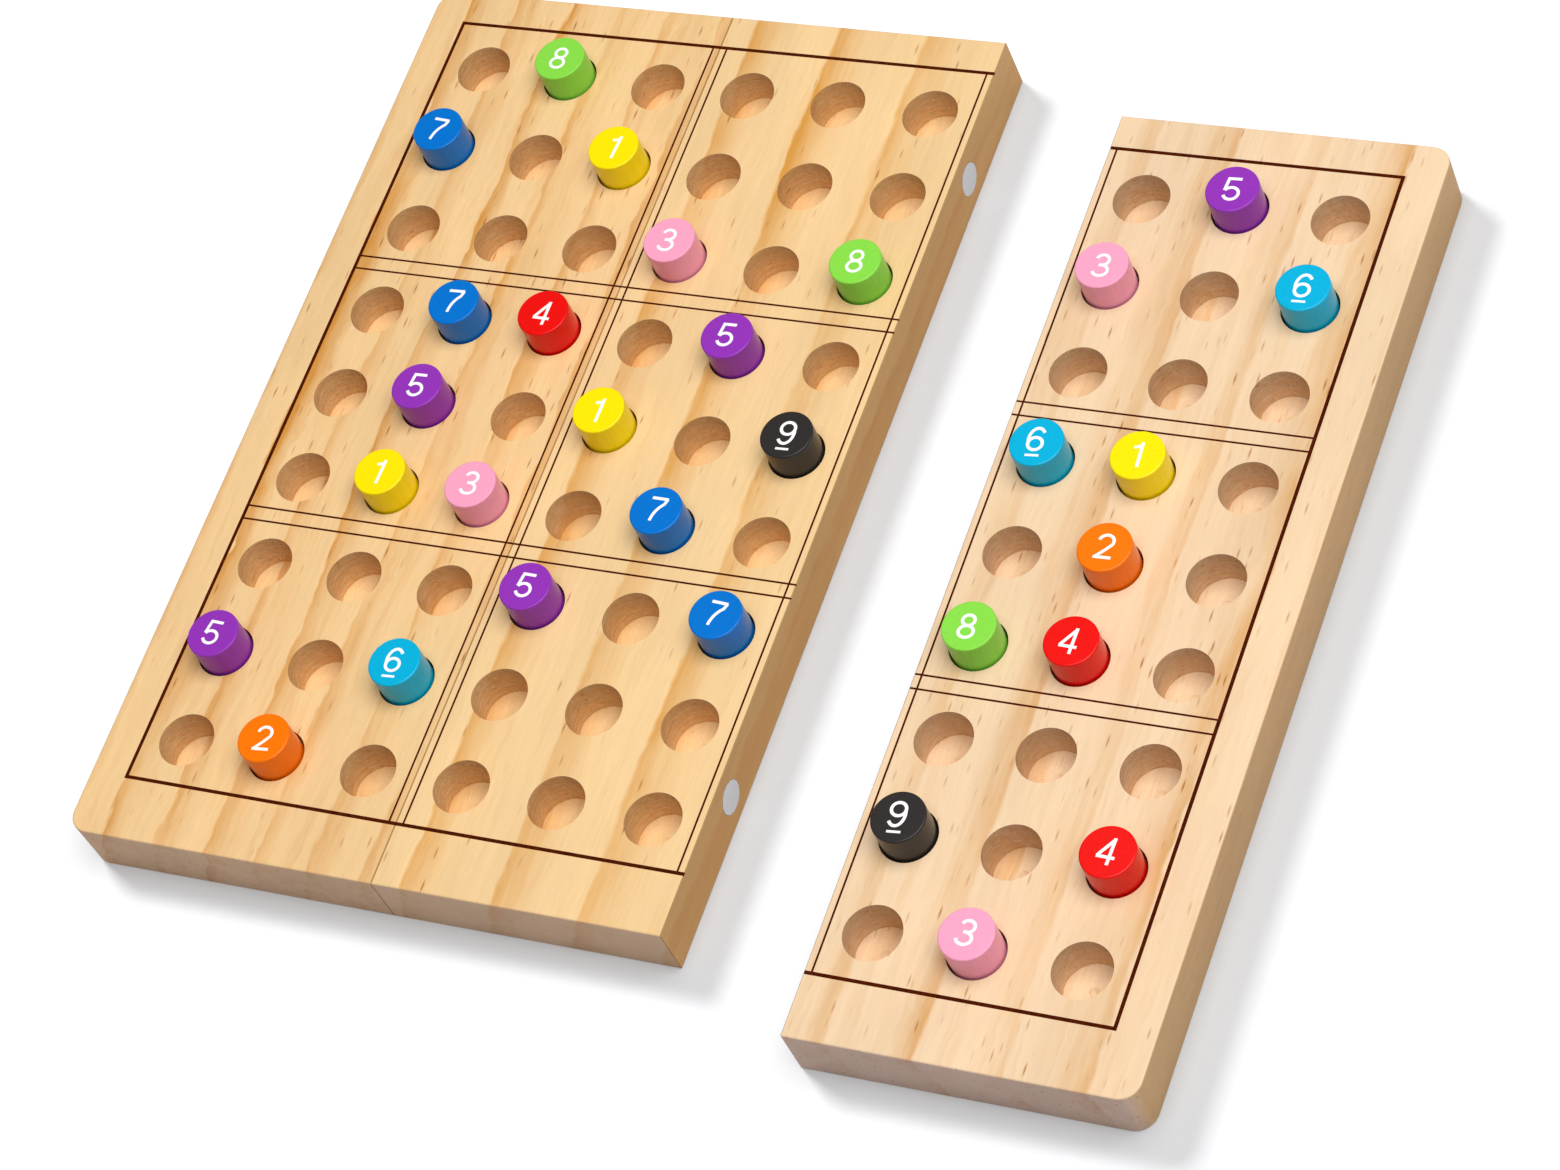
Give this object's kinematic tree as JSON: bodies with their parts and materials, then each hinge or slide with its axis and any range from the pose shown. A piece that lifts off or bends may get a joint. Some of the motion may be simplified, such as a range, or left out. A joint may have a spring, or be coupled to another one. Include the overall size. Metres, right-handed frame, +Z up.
{
  "type": "sudoku board",
  "caption": "Wooden sudoku board: pine panels that close edge to edge by magnets, with drilled sockets in a burnt grid for painted number pegs.",
  "frame": {"origin": "centre of the middle panel's underside, which is the centre of the closed board's underside", "axes": "+X along the rows to the right, +Y to the far edge, +Z up"},
  "size_m": [0.268, 0.259, 0.023],
  "materials": {
    "pine": "sanded pine, clear satin",
    "magnet": "nickel plated, dull",
    "yellow_paint": "satin paint on turned wood",
    "orange_paint": "satin paint on turned wood",
    "pink_paint": "satin paint on turned wood",
    "red_paint": "satin paint on turned wood",
    "purple_paint": "satin paint on turned wood",
    "cyan_paint": "satin paint on turned wood",
    "blue_paint": "satin paint on turned wood",
    "green_paint": "satin paint on turned wood",
    "black_paint": "satin paint on turned wood"
  },
  "bodies": {
    "left_panel": {"left_panel": "pine", "left_inner_magnet_far": "magnet", "left_inner_magnet_near": "magnet"},
    "middle_panel": {"middle_panel": "pine", "middle_left_magnet_far": "magnet", "middle_left_magnet_near": "magnet", "middle_right_magnet_far": "magnet", "middle_right_magnet_near": "magnet"},
    "right_panel": {"right_panel": "pine", "right_inner_magnet_far": "magnet", "right_inner_magnet_near": "magnet"},
    "green_peg_r1c2": {"green_peg_r1c2": "green_paint"},
    "purple_peg_r1c8": {"purple_peg_r1c8": "purple_paint"},
    "blue_peg_r2c1": {"blue_peg_r2c1": "blue_paint"},
    "yellow_peg_r2c3": {"yellow_peg_r2c3": "yellow_paint"},
    "pink_peg_r2c7": {"pink_peg_r2c7": "pink_paint"},
    "cyan_peg_r2c9": {"cyan_peg_r2c9": "cyan_paint"},
    "pink_peg_r3c4": {"pink_peg_r3c4": "pink_paint"},
    "green_peg_r3c6": {"green_peg_r3c6": "green_paint"},
    "blue_peg_r4c2": {"blue_peg_r4c2": "blue_paint"},
    "red_peg_r4c3": {"red_peg_r4c3": "red_paint"},
    "purple_peg_r4c5": {"purple_peg_r4c5": "purple_paint"},
    "cyan_peg_r4c7": {"cyan_peg_r4c7": "cyan_paint"},
    "yellow_peg_r4c8": {"yellow_peg_r4c8": "yellow_paint"},
    "purple_peg_r5c2": {"purple_peg_r5c2": "purple_paint"},
    "yellow_peg_r5c4": {"yellow_peg_r5c4": "yellow_paint"},
    "black_peg_r5c6": {"black_peg_r5c6": "black_paint"},
    "orange_peg_r5c8": {"orange_peg_r5c8": "orange_paint"},
    "yellow_peg_r6c2": {"yellow_peg_r6c2": "yellow_paint"},
    "pink_peg_r6c3": {"pink_peg_r6c3": "pink_paint"},
    "blue_peg_r6c5": {"blue_peg_r6c5": "blue_paint"},
    "green_peg_r6c7": {"green_peg_r6c7": "green_paint"},
    "red_peg_r6c8": {"red_peg_r6c8": "red_paint"},
    "purple_peg_r7c4": {"purple_peg_r7c4": "purple_paint"},
    "blue_peg_r7c6": {"blue_peg_r7c6": "blue_paint"},
    "purple_peg_r8c1": {"purple_peg_r8c1": "purple_paint"},
    "cyan_peg_r8c3": {"cyan_peg_r8c3": "cyan_paint"},
    "black_peg_r8c7": {"black_peg_r8c7": "black_paint"},
    "red_peg_r8c9": {"red_peg_r8c9": "red_paint"},
    "orange_peg_r9c2": {"orange_peg_r9c2": "orange_paint"},
    "pink_peg_r9c8": {"pink_peg_r9c8": "pink_paint"}
  },
  "joints": [
    {"name": "left_panel_slide", "type": "slide", "parent": "middle_panel", "child": "left_panel", "axis": [-1, 0, 0], "range_m": [0, 0.04]},
    {"name": "right_panel_slide", "type": "slide", "parent": "middle_panel", "child": "right_panel", "axis": [0.8944, -0.4472, 0], "range_m": [-0.03913, 0.03]},
    {"name": "green_peg_r1c2_lift", "type": "slide", "parent": "left_panel", "child": "green_peg_r1c2", "axis": [0, 0, 1], "range_m": [0, 0.03]},
    {"name": "purple_peg_r1c8_lift", "type": "slide", "parent": "right_panel", "child": "purple_peg_r1c8", "axis": [0, 0, 1], "range_m": [0, 0.03]},
    {"name": "blue_peg_r2c1_lift", "type": "slide", "parent": "left_panel", "child": "blue_peg_r2c1", "axis": [0, 0, 1], "range_m": [0, 0.03]},
    {"name": "yellow_peg_r2c3_lift", "type": "slide", "parent": "left_panel", "child": "yellow_peg_r2c3", "axis": [0, 0, 1], "range_m": [0, 0.03]},
    {"name": "pink_peg_r2c7_lift", "type": "slide", "parent": "right_panel", "child": "pink_peg_r2c7", "axis": [0, 0, 1], "range_m": [0, 0.03]},
    {"name": "cyan_peg_r2c9_lift", "type": "slide", "parent": "right_panel", "child": "cyan_peg_r2c9", "axis": [0, 0, 1], "range_m": [0, 0.03]},
    {"name": "pink_peg_r3c4_lift", "type": "slide", "parent": "middle_panel", "child": "pink_peg_r3c4", "axis": [0, 0, 1], "range_m": [0, 0.03]},
    {"name": "green_peg_r3c6_lift", "type": "slide", "parent": "middle_panel", "child": "green_peg_r3c6", "axis": [0, 0, 1], "range_m": [0, 0.03]},
    {"name": "blue_peg_r4c2_lift", "type": "slide", "parent": "left_panel", "child": "blue_peg_r4c2", "axis": [0, 0, 1], "range_m": [0, 0.03]},
    {"name": "red_peg_r4c3_lift", "type": "slide", "parent": "left_panel", "child": "red_peg_r4c3", "axis": [0, 0, 1], "range_m": [0, 0.03]},
    {"name": "purple_peg_r4c5_lift", "type": "slide", "parent": "middle_panel", "child": "purple_peg_r4c5", "axis": [0, 0, 1], "range_m": [0, 0.03]},
    {"name": "cyan_peg_r4c7_lift", "type": "slide", "parent": "right_panel", "child": "cyan_peg_r4c7", "axis": [0, 0, 1], "range_m": [0, 0.03]},
    {"name": "yellow_peg_r4c8_lift", "type": "slide", "parent": "right_panel", "child": "yellow_peg_r4c8", "axis": [0, 0, 1], "range_m": [0, 0.03]},
    {"name": "purple_peg_r5c2_lift", "type": "slide", "parent": "left_panel", "child": "purple_peg_r5c2", "axis": [0, 0, 1], "range_m": [0, 0.03]},
    {"name": "yellow_peg_r5c4_lift", "type": "slide", "parent": "middle_panel", "child": "yellow_peg_r5c4", "axis": [0, 0, 1], "range_m": [0, 0.03]},
    {"name": "black_peg_r5c6_lift", "type": "slide", "parent": "middle_panel", "child": "black_peg_r5c6", "axis": [0, 0, 1], "range_m": [0, 0.03]},
    {"name": "orange_peg_r5c8_lift", "type": "slide", "parent": "right_panel", "child": "orange_peg_r5c8", "axis": [0, 0, 1], "range_m": [0, 0.03]},
    {"name": "yellow_peg_r6c2_lift", "type": "slide", "parent": "left_panel", "child": "yellow_peg_r6c2", "axis": [0, 0, 1], "range_m": [0, 0.03]},
    {"name": "pink_peg_r6c3_lift", "type": "slide", "parent": "left_panel", "child": "pink_peg_r6c3", "axis": [0, 0, 1], "range_m": [0, 0.03]},
    {"name": "blue_peg_r6c5_lift", "type": "slide", "parent": "middle_panel", "child": "blue_peg_r6c5", "axis": [0, 0, 1], "range_m": [0, 0.03]},
    {"name": "green_peg_r6c7_lift", "type": "slide", "parent": "right_panel", "child": "green_peg_r6c7", "axis": [0, 0, 1], "range_m": [0, 0.03]},
    {"name": "red_peg_r6c8_lift", "type": "slide", "parent": "right_panel", "child": "red_peg_r6c8", "axis": [0, 0, 1], "range_m": [0, 0.03]},
    {"name": "purple_peg_r7c4_lift", "type": "slide", "parent": "middle_panel", "child": "purple_peg_r7c4", "axis": [0, 0, 1], "range_m": [0, 0.03]},
    {"name": "blue_peg_r7c6_lift", "type": "slide", "parent": "middle_panel", "child": "blue_peg_r7c6", "axis": [0, 0, 1], "range_m": [0, 0.03]},
    {"name": "purple_peg_r8c1_lift", "type": "slide", "parent": "left_panel", "child": "purple_peg_r8c1", "axis": [0, 0, 1], "range_m": [0, 0.03]},
    {"name": "cyan_peg_r8c3_lift", "type": "slide", "parent": "left_panel", "child": "cyan_peg_r8c3", "axis": [0, 0, 1], "range_m": [0, 0.03]},
    {"name": "black_peg_r8c7_lift", "type": "slide", "parent": "right_panel", "child": "black_peg_r8c7", "axis": [0, 0, 1], "range_m": [0, 0.03]},
    {"name": "red_peg_r8c9_lift", "type": "slide", "parent": "right_panel", "child": "red_peg_r8c9", "axis": [0, 0, 1], "range_m": [0, 0.03]},
    {"name": "orange_peg_r9c2_lift", "type": "slide", "parent": "left_panel", "child": "orange_peg_r9c2", "axis": [0, 0, 1], "range_m": [0, 0.03]},
    {"name": "pink_peg_r9c8_lift", "type": "slide", "parent": "right_panel", "child": "pink_peg_r9c8", "axis": [0, 0, 1], "range_m": [0, 0.03]}
  ]
}
